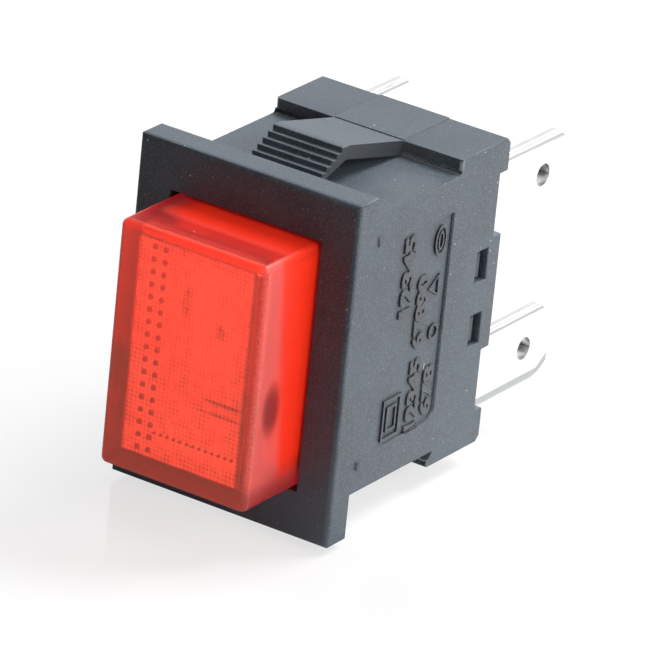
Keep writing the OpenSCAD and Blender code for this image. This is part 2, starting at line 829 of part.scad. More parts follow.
// Tab with bevelled edges, on the right, centred on z = 0
module tab() {
    c = tab_bevel;
    t = tab_t / 2;
    w = tab_w / 2;
    translate([tab_x, 0, 0]) difference() {
        intersection() {
            across(tab_t) tab_outline();
            through([base_y0, tab_end]) polygon([
                [-t, -w + 2 * c], [c - t, -w], [t - c, -w], [t, -w + 2 * c],
                [t, w - 2 * c], [t - c, w], [c - t, w], [-t, w - 2 * c]
            ]);
        }
        translate([0, tab_end - hole_back, 0]) rotate([0, 90, 0])
            cylinder(d = hole_d, h = 2 * tab_t, center = true);
    }
}

// One stamped terminal on the right, at the upper end. A long foot also carries
// a return spring.
module terminal_form(long_foot) {
    z = [tab_z - foot_w / 2, tab_z + foot_w / 2];
    translate([0, 0, tab_z]) tab();
    span([tab_in, tab_x + tab_t / 2], [foot_y, base_y0 + past], z);
    span([bridge_x - contact_d / 2, tab_in + tab_t / 2], [foot_y, base_y0], z);
    if (long_foot)
        span([-return_d / 2 - return_wire, bridge_x], [foot_y, base_y0],
             [return_z - return_d / 2, boss_bottom - foot_gap]);
}

module fixed_contact_form() {
    translate([bridge_x, 0, tab_z]) rod(contact_d, [fixed_face, foot_y]);
}

module contact_bridge() {
    color("#c98f3c") translate([bridge_x, 0, 0]) {
        through([bridge_front, bridge_back]) {
            square([bridge_w, tab_pitch_z], center = true);
            for (end = [-1, 1]) translate([0, end * tab_z]) circle(d = bridge_w);
        }
        rod(dimple_d, [bridge_front - dimple_t, bridge_front + bridge_t / 2]);
    }
}

module bridge_contacts() {
    color("#e3e3e6") both_ends() translate([bridge_x, 0, tab_z])
        rod(contact_d, [bridge_back, moving_face]);
}

module contact_spring() {
    color("#b9bcc0") translate([bridge_x, 0, 0])
        coil_spring([spring_front, bridge_front], contact_spring_d, contact_wire,
                    contact_turns, steps = 12);
}

module terminal_upper_right() color(brass) terminal_form(true);
module terminal_lower_right() color(brass) mirror([0, 0, 1]) terminal_form(false);
module terminal_upper_left() color(brass) mirror([1, 0, 0]) terminal_form(false);
module terminal_lower_left() color(brass) rotate([0, 180, 0]) terminal_form(true);
module fixed_contact_upper_right() color(silver) fixed_contact_form();
module fixed_contact_lower_right() color(silver) mirror([0, 0, 1]) fixed_contact_form();
module fixed_contact_upper_left() color(silver) mirror([1, 0, 0]) fixed_contact_form();
module fixed_contact_lower_left() color(silver) rotate([0, 180, 0]) fixed_contact_form();

housing();
terminal_base();
button_cap();
diffuser();
plunger();
neon_lamp();
lamp_resistor();
lamp_lead();
resistor_lead();
return_spring(1);  // return_spring_upper
return_spring(-1);  // return_spring_lower
latch_pin();
latch_spring();
terminal_upper_right();
terminal_lower_right();
terminal_upper_left();
terminal_lower_left();
fixed_contact_upper_right();
fixed_contact_lower_right();
fixed_contact_upper_left();
fixed_contact_lower_left();
contact_bridge();  // contact_bridge_right
mirror([1, 0, 0]) contact_bridge();  // contact_bridge_left
bridge_contacts();  // bridge_contacts_right
mirror([1, 0, 0]) bridge_contacts();  // bridge_contacts_left
contact_spring();  // contact_spring_right
mirror([1, 0, 0]) contact_spring();  // contact_spring_left
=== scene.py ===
"""Illuminated push-button panel switch: its small forms, finishes, studio and camera."""
import math

import bmesh
import bpy
from mathutils import Matrix, Vector
from mathutils.bvhtree import BVHTree


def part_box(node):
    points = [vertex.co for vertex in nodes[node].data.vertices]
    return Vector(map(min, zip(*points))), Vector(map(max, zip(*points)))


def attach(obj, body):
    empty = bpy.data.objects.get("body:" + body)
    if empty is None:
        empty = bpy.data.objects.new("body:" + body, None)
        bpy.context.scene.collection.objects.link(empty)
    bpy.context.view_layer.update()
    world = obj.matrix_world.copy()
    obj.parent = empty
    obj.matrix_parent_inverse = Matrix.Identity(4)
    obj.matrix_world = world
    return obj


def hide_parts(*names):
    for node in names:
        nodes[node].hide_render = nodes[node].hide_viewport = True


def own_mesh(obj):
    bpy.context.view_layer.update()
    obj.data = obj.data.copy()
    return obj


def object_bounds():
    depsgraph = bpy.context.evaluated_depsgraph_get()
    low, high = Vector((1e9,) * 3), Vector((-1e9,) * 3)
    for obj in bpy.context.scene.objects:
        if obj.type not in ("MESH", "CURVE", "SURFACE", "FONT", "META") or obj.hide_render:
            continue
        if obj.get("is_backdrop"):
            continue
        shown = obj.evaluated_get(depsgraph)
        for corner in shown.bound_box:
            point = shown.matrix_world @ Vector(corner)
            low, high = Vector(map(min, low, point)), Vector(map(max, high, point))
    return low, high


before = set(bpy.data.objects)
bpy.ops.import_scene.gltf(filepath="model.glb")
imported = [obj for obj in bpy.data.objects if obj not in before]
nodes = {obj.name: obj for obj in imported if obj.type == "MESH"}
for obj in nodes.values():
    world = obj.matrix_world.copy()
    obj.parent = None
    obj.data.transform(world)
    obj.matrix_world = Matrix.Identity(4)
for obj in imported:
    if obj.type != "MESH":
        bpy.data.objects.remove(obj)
cad_low, cad_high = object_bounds()

MM = 0.001
cap_low, cap_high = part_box("button_cap")
stud_height = 0.12 * MM


# ---- Node expressions ----


class Value:
    """A node's output on which Python's operators add their Math nodes."""

    def __init__(self, graph, socket):
        self.graph, self.socket = graph, socket

    def _maths(self, operation, *terms):
        return self.graph.add("ShaderNodeMath", {"operation": operation}, dict(enumerate(terms)))

    def __add__(self, other):
        return self._maths("ADD", self, other)

    def __sub__(self, other):
        return self._maths("SUBTRACT", self, other)

    def __rsub__(self, other):
        return self._maths("SUBTRACT", other, self)

    def __mul__(self, other):
        return self._maths("MULTIPLY", self, other)

    def __truediv__(self, other):
        return self._maths("DIVIDE", self, other)

    __radd__, __rmul__ = __add__, __mul__

    def below(self, edge):
        return self._maths("LESS_THAN", self, edge)

    def magnitude(self):
        return self._maths("ABSOLUTE", self)

    def least(self, other):
        return self._maths("MINIMUM", self, other)

    def most(self, other):
        return self._maths("MAXIMUM", self, other)

    def sine(self):
        return self._maths("SINE", self)

    def cosine(self):
        return self._maths("COSINE", self)

    def wave(self, pitch):
        """0 to 1 to 0 once in each pitch."""
        return self._maths("PINGPONG", self / (pitch / 2), 1.0)

    def ramp(self, low, high, to_low=0.0, to_high=1.0):
        """Smooth step from to_low at low to to_high at high."""
        return self.graph.add(
            "ShaderNodeMapRange",
            {"interpolation_type": "SMOOTHSTEP"},
            {"Value": self, "From Min": low, "From Max": high, "To Min": to_low, "To Max": to_high},
        )


class Graph:
    """A node tree to which nodes are added one way only."""

    def __init__(self, tree):
        self.tree = tree

    def add(self, kind, settings, inputs, output=0):
        """One node: its settings first, then its sockets' values or links, or a list of links."""
        node = self.tree.nodes.new(kind)
        for name, value in settings.items():
            setattr(node, name, value)
        for key, value in inputs.items():
            links = [value] if isinstance(value, Value) else value
            if isinstance(links, list):
                for link in links:
                    self.tree.links.new(link.socket, node.inputs[key])
            else:
                node.inputs[key].default_value = value
        if node.outputs:
            return Value(self, node.outputs[output])


class Finish(Graph):
    """A procedural material on one Principled shader."""

    def __init__(self, name, **constants):
        self.material = bpy.data.materials.new(name)
        self.material.use_nodes = True
        super().__init__(self.material.node_tree)
        self.shader = self.tree.nodes["Principled BSDF"]
        self.bumps = None
        self.place = self.add("ShaderNodeTexCoord", {}, {}, "Object")
        for socket, value in constants.items():
            self.shader.inputs[socket.replace("_", " ")].default_value = value

    def noise(self, size, detail=2.0, place=None, rough=0.5):
        """Noise whose features are about size millimetres across."""
        return self.add(
            "ShaderNodeTexNoise", {},
            {
                "Vector": place or self.place, "Scale": 1 / (size * MM),
                "Detail": detail, "Roughness": rough,
            },
        )

    def axis(self, name):
        """Place along X, Y or Z in millimetres."""
        return self.add("ShaderNodeSeparateXYZ", {}, {0: self.place}, name) / MM

    def facing(self, name):
        """How far the surface faces along X, Y or Z, from -1 to 1."""
        normal = self.add("ShaderNodeTexCoord", {}, {}, "Normal")
        return self.add("ShaderNodeSeparateXYZ", {}, {0: normal}, name)

    def stretched(self, x, y, z):
        """The object's coordinates, scaled along each axis."""
        return self.add("ShaderNodeMapping", {}, {"Vector": self.place, "Scale": (x, y, z)})

    def specks(self, pitch, radius, share, seed=0.0, stretch=(1, 1, 1)):
        """Small specks of about radius millimetres, in a share of the cells of a pitch."""
        moved = self.add(
            "ShaderNodeMapping", {},
            {"Vector": self.place, "Location": (seed, seed, seed), "Scale": stretch},
        )
        cell = {"Vector": moved, "Scale": 1 / (pitch * MM)}
        far = self.add("ShaderNodeTexVoronoi", {}, cell, "Distance")
        shade = self.add("ShaderNodeTexVoronoi", {}, cell, "Color")
        pick = self.add("ShaderNodeSeparateColor", {}, {0: shade}, 0)
        vary = self.add("ShaderNodeSeparateColor", {}, {0: shade}, 1)
        edge = radius / pitch * (vary + 0.5)
        return (1 - (far / edge).ramp(0.6, 1.0)) * pick.below(share)

    def mix(self, factor, first, second):
        """Colour between first and second."""
        return self.add("ShaderNodeMix", {"data_type": "RGBA"}, {0: factor, 6: first, 7: second}, 2)

    def bump(self, height, depth):
        """Adds a relief of depth millimetres."""
        inputs = {"Height": height, "Distance": depth * MM, "Strength": 1.0}
        if self.bumps:
            inputs["Normal"] = self.bumps
        self.bumps = self.add("ShaderNodeBump", {}, inputs)
        self.tree.links.new(self.bumps.socket, self.shader.inputs["Normal"])

    def set(self, **links):
        """Links values to the shader's sockets of those names."""
        for name, value in links.items():
            self.tree.links.new(value.socket, self.shader.inputs[name.replace("_", " ")])

    def veil(self, cover, shade, roughness):
        """Covers a share of the surface with a matt shade."""
        matt = self.add(
            "ShaderNodeBsdfPrincipled", {},
            {"Base Color": shade, "Roughness": roughness, "Normal": self.bumps},
        )
        both = self.add(
            "ShaderNodeMixShader", {}, {0: cover, 1: Value(self, self.shader.outputs[0]), 2: matt},
        )
        self.tree.links.new(both.socket, self.tree.nodes["Material Output"].inputs["Surface"])


class Growth(Graph):
    """A Geometry Nodes tree with named lengths and counts, from which plain pieces are grown."""

    def __init__(self, name, lengths, counts):
        super().__init__(bpy.data.node_groups.new(name, "GeometryNodeTree"))
        face = self.tree.interface
        face.new_socket("Geometry", in_out="OUTPUT", socket_type="NodeSocketGeometry")
        for kind, names in (("NodeSocketFloat", lengths), ("NodeSocketInt", counts)):
            for size in names:
                face.new_socket(size, in_out="INPUT", socket_type=kind)
        self.sizes = [self.add("NodeGroupInput", {}, {}, size) for size in (*lengths, *counts)]

    def spread(self, shape, wide, tall, columns, rows, y=0.0):
        """Copies of a shape, whose top faces forward, on an upright grid at a depth y."""
        upright = (math.pi / 2, 0, 0)
        grid = self.add(
            "GeometryNodeMeshGrid", {},
            {"Size X": wide, "Size Y": tall, "Vertices X": columns, "Vertices Y": rows},
        )
        place = self.add("ShaderNodeCombineXYZ", {}, {"Y": y})
        stood = self.add(
            "GeometryNodeTransform", {},
            {"Geometry": grid, "Rotation": upright, "Translation": place},
        )
        return self.add(
            "GeometryNodeInstanceOnPoints", {},
            {"Points": stood, "Instance": shape, "Rotation": upright},
        )

    def close(self, shape, material):
        """Ends the tree with a shape as plain geometry of one material."""
        whole = self.add("GeometryNodeRealizeInstances", {}, {0: shape})
        painted = self.add("GeometryNodeSetMaterial", {}, {0: whole, "Material": material})
        self.add("NodeGroupOutput", {}, {0: painted})

    def grow(self, name, place, **sizes):
        """A plain piece of these sizes, with its place in its mesh."""
        piece = own(bpy.data.meshes.new(name), name)
        modifier = piece.modifiers.new("growth", "NODES")
        modifier.node_group = self.tree
        for socket in self.tree.interface.items_tree:
            if socket.in_out == "INPUT":
                modifier[socket.identifier] = sizes[socket.name]
        baked(piece)
        piece.data.transform(Matrix.Translation(place))
        return piece


# ---- Finishes ----


def colour(red, green, blue):
    return (red, green, blue, 1.0)


def shades(base, *factors):
    """The base colour times each factor."""
    return [colour(*[c * factor for c in base]) for factor in factors]


def oval(across, along):
    """0 in the middle of an oval and 1 at its edge, from places as shares of its half sizes."""
    return across * across + along * along


def moulded_nylon(name, base, dust, grain=0.022, gloss=0.4):
    """Black moulded nylon with a fine spark-eroded grain, a little white dust and lint.

    It has painted shade where it looks across the bezel's opening, and painted light on top and low
    on the front.
    """
    coat = Finish(name, IOR=1.53)
    opening = cap_high.x / MM
    x, z = coat.axis("X"), coat.axis("Z")
    fine = coat.noise(0.12, 3.0, rough=0.65)
    cloud = coat.noise(2.6, 3.0)
    painted_shade_tone, dark, light, pale = shades(base, 0.25, 0.84, 1.14, 2.6)
    tint = coat.mix(cloud.ramp(0.35, 0.65), dark, light)
    grey = coat.mix(fine.ramp(0.45, 0.75) * 0.7, tint, pale)
    # Painted shade on faces turned to the right inside the opening; a painted reflection of the floor
    # low on the front; painted light on top.
    inward_painted_shade = coat.facing("X").ramp(0.4, 0.8) * x.ramp(opening - 0.4, opening + 0.2, 1.0, 0.0)
    low_front_painted_light = (0 - coat.facing("Y")).ramp(0.5, 0.9) * (x * 0.5 - z).ramp(2.0, 12.0)
    top = coat.facing("Z").ramp(0.55, 0.95)
    for share, shade in ((inward_painted_shade * 0.8, painted_shade_tone), (low_front_painted_light * 0.5, pale), (top * 0.25, pale)):
        grey = coat.mix(share, grey, shade)
    lint = coat.specks(0.8, 0.05, 0.3) + coat.specks(0.34, 0.024, 0.3, 0.013)
    hairs = coat.specks(2.2, 0.11, 0.25, 0.007, (1.0, 1.0, 0.16))
    loose = (lint + hairs).least(1.0) * coat.facing("X").ramp(0.3, 0.9, 1.0, 0.5)
    coat.set(
        Base_Color=coat.mix(loose * dust, grey, colour(0.75, 0.75, 0.73)),
        Roughness=cloud.ramp(0.3, 0.7, gloss, gloss + 0.1) + fine * 0.12,
    )
    coat.bump(fine, grain)
    coat.bump(loose, 0.01)
    return coat.material


def red_lens():
    """Clear red polycarbonate: polished face and frosted sides, with painted glow in its walls and at
    its rear, a painted highlight and painted sheen on the face, and a painted shadow on its flanks.
    """
    coat = Finish(
        "red_lens", Transmission_Weight=1.0, IOR=1.5, Specular_IOR_Level=0.25,
        Specular_Tint=colour(1.0, 0.5, 0.35), Emission_Strength=1.0,
    )
    wall, shadow_depth, shadow_z = 0.7, 1.8, -1.6
    front, half_x, half_z = (v / MM for v in (cap_low.y, cap_high.x, cap_high.z))
    x, y, z = (coat.axis(name) for name in "XYZ")
    depth = y - front
    past_side, past_end = x.magnitude() - half_x, z.magnitude() - half_z
    frost = coat.noise(0.14, 2.0, rough=0.6)
    cloud = coat.noise(3.0, 2.0)
    lint = coat.specks(0.9, 0.045, 0.22) + coat.specks(0.5, 0.022, 0.2, 0.011)

    # Where on the cap: its face, its walls and hollow, its outer sides and their rear, which carries
    # a painted glow
    face = depth.ramp(0.3, 0.5, 1.0, 0.0)
    walls = past_side.most(past_end) + wall
    side = depth.ramp(0.3, 0.6) * walls.ramp(0.2, 0.5)
    hollow = depth.ramp(1.3, 1.4) * walls.ramp(0.1, 0.2, 1.0, 0.0)
    flank = past_side.ramp(-0.4, -0.25) * z.ramp(0.4 - half_z, 2.0 - half_z, 0.1)
    roof = (z - half_z).ramp(-0.15, -0.05) * x.ramp(0.6 - half_x, 1.6 - half_x)
    outer = flank.most(roof)
    back = (depth + flank * (z * 0.12 + 0.2) - 0.2).ramp(1.9, 2.9)
    # Painted highlight: a bright band along the face's top edge, fainter to the left
    brow_highlight = face * z.ramp(half_z - 0.42, half_z - 0.34) * x.ramp(-half_x, -1.0, 0.5)

    # 0 in the painted shadow spot that the lamp's light misses, 1 round it
    shadow_spot = oval((depth - shadow_depth) / 0.95, (z - shadow_z) / 1.8) + frost * 0.4
    outside_shadow = shadow_spot.ramp(0.3, 1.6)

    red = coat.mix(cloud.ramp(0.3, 0.7), colour(0.94, 0.045, 0.024), colour(0.97, 0.06, 0.032))
    # Emission: a painted glow in the walls, and a painted sheen on the face, redder towards the top
    wall_glow = coat.mix(walls.ramp(-0.1, 0.2), colour(0, 0, 0), colour(0.06, 0.005, 0.008))
    upper = (z + cloud).ramp(-0.2, 1.0)
    painted_sheen = coat.mix(upper, colour(0.09, 0.04, 0.028), colour(0.18, 0.04, 0.028))
    # Base colour: clear red, darkened to a painted shadow in the spot on the flanks
    coat.set(
        Base_Color=coat.mix(flank * (1 - outside_shadow), red, colour(0.2, 0.006, 0.006)),
        Roughness=side * 0.3 + hollow * 0.45 + frost * 0.08 + 0.05,
        Emission_Color=coat.mix(brow_highlight, coat.mix(face, wall_glow, painted_sheen), colour(0.55, 0.035, 0.02)),
    )
    coat.bump(frost * (side + 0.12), 0.012)
    # Veil: frosting on the flanks, and at their rear and along the top a painted orange glow for the
    # collar lit behind the walls; white lint all over.
    frost_and_glow = flank * (1 - back) * (frost * 0.7 + 0.1) + outer * back * 0.6
    cover = (0.02 + frost_and_glow * outside_shadow + lint * 0.5).least(1.0)
    shade = coat.mix(back * outer, colour(1.0, 0.14, 0.12), colour(1.0, 0.03, 0.0))
    coat.veil(cover, coat.mix(lint, shade, colour(1.0, 0.75, 0.7)), 0.5)
    return coat.material


def lens_diffuser(low, high):
    """Milky plate behind the lens with a painted glow for the light from behind, a fine uneven weave,
    painted soft shadows and painted shade at its rim and right edge.
    """
    coat = Finish(
        "diffuser", Base_Color=colour(0.3, 0.28, 0.26), Roughness=0.55, Emission_Strength=1.1,
    )
    plate_front, half_x, half_z = (v / MM for v in (low.y, high.x, high.z))
    x, y, z = (coat.axis(name) for name in "XYZ")
    cloud = coat.noise(2.2, 2.0)
    wander = coat.noise(1.2, 2.0) * 0.12
    patches = coat.noise(0.7, 2.0).ramp(0.3, 0.7, 0.3, 1.0)
    pitch = 0.26
    upright, level = ((way + wander).wave(pitch).ramp(0.1, 0.9, 1.0, 0.0) for way in (x, z))
    weave = (upright + level * 0.8) * patches
    # Painted soft shadows on the plate: place across and up, half width, half height, and how dark
    painted_shadows = sum(
        oval((x - at_x) / half_width, (z - at_z) / half_height).ramp(0.0, 1.6, darkness, 0.0)
        for at_x, at_z, half_width, half_height, darkness in (
            (-0.6, 3.3, 0.3, 1.4, 0.3), (1.8, 2.3, 0.35, 0.5, 0.42), (2.4, -1.9, 1.3, 0.16, 0.5),
            (2.2, -2.6, 1.5, 0.14, 0.4), (-0.2, 1.0, 0.3, 0.9, 0.2), (3.4, -0.2, 0.5, 2.8, 0.12),
        )
    )
    # Painted shade towards the rim and along the right edge; the glow stays mostly on the front face
    rim = (x.magnitude() - half_x).most(z.magnitude() - half_z).ramp(-1.1, 0.0, 0.0, 0.14)
    front = y.ramp(plate_front + 0.2, plate_front + 0.35, 1.0, 0.1) * x.ramp(3.62, 3.7, 1.0, 0.3)
    light = (1.0 + cloud * 0.12 - weave * 0.36 - painted_shadows - rim) * front
    coat.set(Emission_Color=coat.mix(light, colour(0, 0, 0), colour(1.0, 0.93, 0.88)))
    coat.bump(coat.noise(0.2), 0.01)
    return coat.material


def diffuser_stud():
    """Small studs of the plate, which throw the light aside: a dimmer painted glow than the plate's.
    """
    coat = Finish("diffuser_stud", Roughness=0.5, Emission_Strength=0.68)
    tint = coat.mix(coat.noise(0.6), colour(0.3, 0.2, 0.16), colour(0.45, 0.32, 0.28))
    coat.set(Base_Color=tint, Emission_Color=tint)
    return coat.material


def white_nylon():
    """White nylon whose collar, inside the lens, has a painted orange glow for the lamp's light, with
    a painted shadow spot.
    """
    coat = Finish("white_nylon", IOR=1.53, Emission_Strength=1.0)
    cap_front, shadow_y, shadow_z = cap_low.y / MM, -4.4, -2.2
    x, y, z = (coat.axis(name) for name in "XYZ")
    cloud = coat.noise(2.0, 3.0)
    inside = y.ramp(cap_front + 2.2, cap_front + 3.2) * y.ramp(-1.3, -0.9, 1.0, 0.0)
    # Painted shadow spot on the collar, where the glow stays off
    outside_shadow = oval((y - shadow_y) / 0.9, (z - shadow_z) / 1.3).ramp(0.2, 1.5)
    reach = x.ramp(-3.9, -3.2) * x.ramp(4.3, 4.8, 1.0, 0.0) * z.ramp(-6.3, -5.4)
    painted_glow = inside * outside_shadow * reach * cloud.ramp(0.2, 0.6, 0.85, 1.0)
    coat.set(
        Base_Color=coat.mix(cloud.ramp(0.3, 0.7), colour(0.78, 0.75, 0.68), colour(0.86, 0.84, 0.78)),
        Roughness=cloud.ramp(0.3, 0.7, 0.38, 0.5),
        Emission_Color=coat.mix(painted_glow, colour(0, 0, 0), colour(1.0, 0.55, 0.02)),
    )
    coat.bump(coat.noise(0.12), 0.006)
    return coat.material


def metal(name, base, rough, stain_and_shade=None, edge=None):
    """Rolled or drawn metal with fine lines along Y, soft stains and, on the blades, painted shade
    along their edges.
    """
    coat = Finish(name, Metallic=1.0)
    lines = coat.noise(0.05, 2.0, coat.stretched(1, 0.05, 1))
    cloud = coat.noise(1.6, 3.0)
    shade = coat.mix(lines.ramp(0.3, 0.7), *shades(base, 0.9, 1.0))
    dull = colour(*stain_and_shade) if stain_and_shade else shades(base, 0.8)[0]
    shade = coat.mix(cloud.ramp(0.5, 0.8) * (0.15 if edge else 0.6), shade, dull)
    # Painted shade along the blades' edges, in the same dull colour as the stains
    if edge:
        shade = coat.mix(edge(coat), shade, dull)
    coat.set(
        Base_Color=shade,
        Roughness=cloud.ramp(0.3, 0.8, rough, rough + 0.12) + lines * 0.06,
    )
    coat.bump(lines, 0.003)
    return coat.material


def blade_painted_shade(coat):
    """Share of painted shade along a blade's lower edge and its tip's lower corner, stronger on the
    lower blades, and in a thin line where the side turns up into the top bevel.
    """
    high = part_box("terminal_upper_right")[1] / MM
    half_width, strip_width, corner_length = 2.4, 0.7, 1.2
    corner_slant = math.radians(54.7)
    middle = high.z - half_width
    y, z = coat.axis("Y"), coat.axis("Z")
    lower_blade = z.below(0.0)
    down = (z.magnitude() - middle) * (lower_blade * 2 - 1)
    from_edge = half_width - down
    from_corner = (
        (high.y - corner_length - y) * math.cos(corner_slant) + from_edge * math.sin(corner_slant)
    )
    strip = from_edge.ramp(strip_width - 0.06, strip_width, 1.0, 0.0)
    strip = strip.most(from_corner.ramp(0.42, 0.48, 1.0, 0.0))
    up = coat.facing("Z")
    crease = up.ramp(0.04, 0.12) * up.ramp(0.2, 0.28, 1.0, 0.0)
    return (strip * (lower_blade * 0.8 + 0.2)).most(crease)


def lamp_glass():
    """Clear glass of the neon lamp, a little smoked in places."""
    coat = Finish("lamp_glass", Transmission_Weight=1.0, IOR=1.5)
    cloud = coat.noise(1.5)
    coat.set(
        Base_Color=coat.mix(cloud, colour(0.95, 0.9, 0.85), colour(1.0, 0.97, 0.93)),
        Roughness=cloud.ramp(0.4, 0.9, 0.02, 0.12),
    )
    return coat.material


def resistor_body():
    """Tan lacquer with four plain colour bands."""
    coat = Finish("resistor")
    x = coat.axis("X")
    tint = coat.mix(coat.noise(0.5), colour(0.62, 0.42, 0.22), colour(0.7, 0.5, 0.28))
    half_band = 0.17
    for centre, paint in (
        (-1.1, colour(0.35, 0.08, 0.02)), (-0.4, colour(0.02, 0.02, 0.02)),
        (0.3, colour(0.7, 0.3, 0.02)), (1.1, colour(0.6, 0.45, 0.1)),
    ):
        tint = coat.mix((x - centre).magnitude().below(half_band), tint, paint)
    coat.set(Base_Color=tint, Roughness=coat.noise(0.4).ramp(0.2, 0.8, 0.25, 0.4))
    coat.bump(coat.noise(0.3), 0.01)
    return coat.material


# ---- Meshes ----


def own(mesh, name):
    """Puts a mesh or a text into the scene as an object."""
    piece = bpy.data.objects.new(name, mesh)
    bpy.context.scene.collection.objects.link(piece)
    return piece


def baked(piece):
    """Makes the piece's modifiers part of its mesh."""
    bpy.context.view_layer.update()
    graph = bpy.context.evaluated_depsgraph_get()
    mesh = bpy.data.meshes.new_from_object(piece.evaluated_get(graph))
    piece.modifiers.clear()
    piece.data = mesh
    return piece


def drawn(shape, name):
    """A piece of a drawn shape, with doubles merged and faces turned outwards."""
    bmesh.ops.remove_doubles(shape, verts=shape.verts, dist=1e-7)
    bmesh.ops.recalc_face_normals(shape, faces=shape.faces)
    mesh = bpy.data.meshes.new(name)
    shape.to_mesh(mesh)
    shape.free()
    return own(mesh, name)


def dressed(piece, body, material, slot, *replaced):
    """Gives a piece its material and its body, and hides the nodes that it replaces. Its slot is not
    used.
    """
    piece.data.materials.clear()
    piece.data.materials.append(material)
    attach(piece, body)
    if replaced:
        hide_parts(*replaced)


def room_beside(edge):
    """How far a round may reach from an edge over its faces and along its neighbours."""
    least_slant = 0.05
    start = edge.verts[0].co
    along = (edge.verts[1].co - start).normalized()
    room = min(
        max((v.co - start).cross(along).length for v in face.verts) for face in edge.link_faces
    )
    for v in edge.verts:
        for other in v.link_edges:
            way = other.verts[1].co - other.verts[0].co
            if other is not edge and way.cross(along).length > least_slant * way.length:
                room = min(room, way.length)
    return room


def welded(node, width):
    """A node's mesh with whole flat faces, whose sharp edges are marked where a round has room."""
    sharp_from, room_for_round = math.radians(32), 2.2
    shape = bmesh.new()
    shape.from_mesh(nodes[node].data)
    bmesh.ops.remove_doubles(shape, verts=shape.verts, dist=1e-6)
    bmesh.ops.dissolve_limit(
        shape, angle_limit=math.radians(1), verts=shape.verts, edges=shape.edges,
    )
    weight = shape.edges.layers.float.new("bevel_weight_edge")
    for edge in shape.edges:
        sharp = len(edge.link_faces) == 2 and edge.calc_face_angle() > sharp_from
        if sharp and room_beside(edge) > room_for_round * width * MM:
            edge[weight] = 1.0
    mesh = bpy.data.meshes.new(node)
    shape.to_mesh(mesh)
    shape.free()
    return mesh


def settled(piece, angle=40):
    """Smooth shading in which the large flat faces stay flat."""
    piece.data.shade_smooth()
    piece.data.set_sharp_from_angle(angle=math.radians(angle))
    weights = piece.modifiers.new("weights", "WEIGHTED_NORMAL")
    weights.keep_sharp = True
    weights.weight = 100
    return baked(piece)


def softened(node, name, width):
    """The node's form with its edges broken by a small round of that width in millimetres."""
    piece = own(welded(node, width), name)
    bevel = piece.modifiers.new("edges", "BEVEL")
    bevel.width = width * MM
    bevel.segments = 3
    bevel.limit_method = "WEIGHT"
    return settled(baked(piece))


def skin(shape, first, second):
    """Faces from one closed ring of vertices to the next."""
    for i in range(len(first)):
        k = (i + 1) % len(first)
        shape.faces.new((first[i], first[k], second[k], second[i]))


def rounded_ring(shape, y, half_x, half_z, corner):
    """Vertices of a rectangle with rounded corners at a depth y, in order round it."""
    steps, least_corner = 8, 0.004 * MM
    corner = max(corner, least_corner)
    ring = []
    for quarter, (side_x, side_z) in enumerate(((1, 1), (-1, 1), (-1, -1), (1, -1))):
        for i in range(steps + 1):
            angle = (quarter + i / steps) * math.pi / 2
            ring.append(shape.verts.new((
                side_x * (half_x - corner) + corner * math.cos(angle), y,
                side_z * (half_z - corner) + corner * math.sin(angle),
            )))
    return ring


def lens_cap():
    """Hollow red cap, open at the back, skinned over rings from its face to the inside."""
    plate_low, plate_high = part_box("diffuser")
    edge, corner, rim, gap = 0.4 * MM, 0.42 * MM, 0.1 * MM, 0.05 * MM
    inner_corner, fillet = 0.15 * MM, 0.03 * MM
    half_x, half_z = cap_high.x, cap_high.z
    in_x, in_z = plate_high.x + gap, plate_high.z + gap
    face_back = plate_low.y - gap
    shape = bmesh.new()
    rings = []

    def outside(y, inset):
        rings.append(rounded_ring(shape, y, half_x - inset, half_z - inset, corner - inset))

    def inside(y, inset, round_off):
        rings.append(rounded_ring(shape, y, in_x - inset, in_z - inset, round_off))

    steps = 8
    for i in range(steps + 1):
        angle = i / steps * math.pi / 2
        outside(cap_low.y + edge * (1 - math.cos(angle)), edge * (1 - math.sin(angle)))
    outside(cap_high.y - rim, 0)
    outside(cap_high.y, rim)
    inside(cap_high.y, -rim, inner_corner)
    inside(cap_high.y - rim, 0, inner_corner)
    inside(face_back + fillet, 0, inner_corner)
    inside(face_back, fillet, inner_corner - fillet)
    for ring, following in zip(rings, rings[1:]):
        skin(shape, ring, following)
    shape.faces.new(rings[0])
    shape.faces.new(rings[-1])
    return settled(drawn(shape, "lens_cap"), 50)


def diffuser_plate():
    """Plate with small pyramids all over its face."""
    low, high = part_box("diffuser")
    tree = Growth("prism_plate", ("width", "height", "plate", "prism"), ("columns", "rows"))
    width, height, plate, prism, columns, rows = tree.sizes
    block = tree.add("ShaderNodeCombineXYZ", {}, {"X": width, "Y": plate, "Z": height})
    slab = tree.add("GeometryNodeMeshCube", {}, {"Size": block})
    cell = width / columns
    cone = tree.add(
        "GeometryNodeMeshCone", {},
        {"Vertices": 4, "Radius Top": 0.0, "Radius Bottom": cell * 0.64, "Depth": prism},
    )
    pyramid = tree.add(
        "GeometryNodeTransform", {}, {"Geometry": cone, "Rotation": (0, 0, math.pi / 4)},
    )
    face = plate * -0.5 + 0.01 * MM
    prisms = tree.spread(pyramid, width - cell, height - cell, columns, rows, face)
    whole = tree.add("GeometryNodeJoinGeometry", {}, {0: [slab, prisms]})
    tree.close(whole, lens_diffuser(low, high))
    size = high - low
    thick = high.y - low.y - stud_height
    return tree.grow(
        "diffuser_plate", ((low.x + high.x) / 2, high.y - thick / 2, (low.z + high.z) / 2),
        width=size.x, height=size.z, plate=thick, prism=stud_height * 0.4, columns=27, rows=44,
    )


